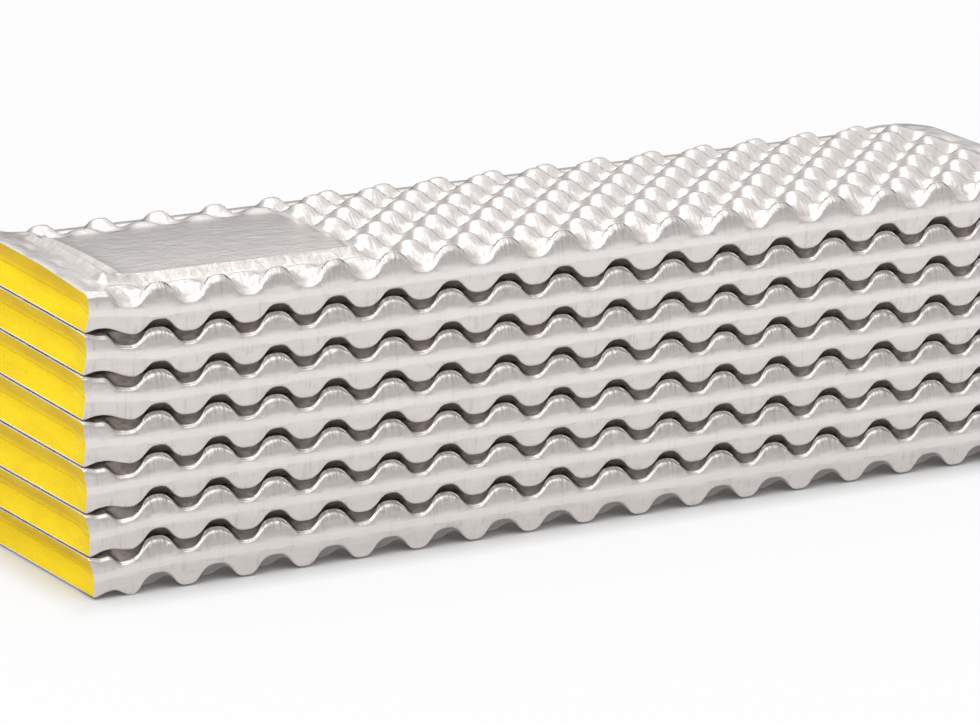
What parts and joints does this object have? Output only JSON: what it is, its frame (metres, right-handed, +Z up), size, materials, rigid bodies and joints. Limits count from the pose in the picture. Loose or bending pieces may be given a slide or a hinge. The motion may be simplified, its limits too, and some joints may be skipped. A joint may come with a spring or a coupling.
{
  "type": "folding foam sleeping pad",
  "caption": "Egg-crate closed-cell foam sleeping pad with a metallised film on one face, folded into an accordion stack on live foam hinges.",
  "frame": {"origin": "middle of the folded stack's footprint, on the surface it stands on", "axes": "+X along the panels (509.6 mm), +Y from the front folds to the back folds (129.8 mm), +Z up through the stack, film side up on panel 1"},
  "size_m": [0.5096, 0.1298, 0.1413],
  "materials": {
    "film_and_foam_panel": "semi-gloss metallised film laminated on yellow closed-cell foam",
    "film_hinge": "the same film, stretched over the folded edge",
    "foam_hinge": "matte yellow closed-cell foam"
  },
  "bodies": {
    "panel_01": {"panel_01": "film_and_foam_panel", "fold_web_01": "film_hinge"},
    "panel_02": {"panel_02": "film_and_foam_panel", "fold_web_02": "foam_hinge"},
    "panel_03": {"panel_03": "film_and_foam_panel", "fold_web_03": "film_hinge"},
    "panel_04": {"panel_04": "film_and_foam_panel", "fold_web_04": "foam_hinge"},
    "panel_05": {"panel_05": "film_and_foam_panel", "fold_web_05": "film_hinge"},
    "panel_06": {"panel_06": "film_and_foam_panel", "fold_web_06": "foam_hinge"},
    "panel_07": {"panel_07": "film_and_foam_panel", "fold_web_07": "film_hinge"},
    "panel_08": {"panel_08": "film_and_foam_panel"},
    "panel_09": {"panel_09": "film_and_foam_panel", "fold_web_08": "foam_hinge"},
    "panel_10": {"panel_10": "film_and_foam_panel", "fold_web_09": "film_hinge"},
    "panel_11": {"panel_11": "film_and_foam_panel", "fold_web_10": "foam_hinge"},
    "panel_12": {"panel_12": "film_and_foam_panel", "fold_web_11": "film_hinge"},
    "panel_13": {"panel_13": "film_and_foam_panel", "fold_web_12": "foam_hinge"},
    "panel_14": {"panel_14": "film_and_foam_panel", "fold_web_13": "film_hinge"}
  },
  "joints": [
    {"name": "fold_01", "type": "hinge", "parent": "panel_02", "child": "panel_01", "pos_m": [0, -0.06502, 0.12745], "axis": [1, 0, 0], "range_deg": [0, 180]},
    {"name": "fold_02", "type": "hinge", "parent": "panel_03", "child": "panel_02", "pos_m": [0, 0.06502, 0.11795], "axis": [-1, 0, 0], "range_deg": [0, 180]},
    {"name": "fold_03", "type": "hinge", "parent": "panel_04", "child": "panel_03", "pos_m": [0, -0.06502, 0.10845], "axis": [1, 0, 0], "range_deg": [0, 180]},
    {"name": "fold_04", "type": "hinge", "parent": "panel_05", "child": "panel_04", "pos_m": [0, 0.06502, 0.09895], "axis": [-1, 0, 0], "range_deg": [0, 180]},
    {"name": "fold_05", "type": "hinge", "parent": "panel_06", "child": "panel_05", "pos_m": [0, -0.06502, 0.08945], "axis": [1, 0, 0], "range_deg": [0, 180]},
    {"name": "fold_06", "type": "hinge", "parent": "panel_07", "child": "panel_06", "pos_m": [0, 0.06502, 0.07995], "axis": [-1, 0, 0], "range_deg": [0, 180]},
    {"name": "fold_07", "type": "hinge", "parent": "panel_08", "child": "panel_07", "pos_m": [0, -0.06502, 0.07045], "axis": [1, 0, 0], "range_deg": [0, 180]},
    {"name": "fold_08", "type": "hinge", "parent": "panel_08", "child": "panel_09", "pos_m": [0, 0.06502, 0.06095], "axis": [1, 0, 0], "range_deg": [0, 180]},
    {"name": "fold_09", "type": "hinge", "parent": "panel_09", "child": "panel_10", "pos_m": [0, -0.06502, 0.05145], "axis": [-1, 0, 0], "range_deg": [0, 180]},
    {"name": "fold_10", "type": "hinge", "parent": "panel_10", "child": "panel_11", "pos_m": [0, 0.06502, 0.04195], "axis": [1, 0, 0], "range_deg": [0, 180]},
    {"name": "fold_11", "type": "hinge", "parent": "panel_11", "child": "panel_12", "pos_m": [0, -0.06502, 0.03245], "axis": [-1, 0, 0], "range_deg": [0, 180]},
    {"name": "fold_12", "type": "hinge", "parent": "panel_12", "child": "panel_13", "pos_m": [0, 0.06502, 0.02295], "axis": [1, 0, 0], "range_deg": [0, 180]},
    {"name": "fold_13", "type": "hinge", "parent": "panel_13", "child": "panel_14", "pos_m": [0, -0.06502, 0.01345], "axis": [-1, 0, 0], "range_deg": [0, 180]}
  ]
}
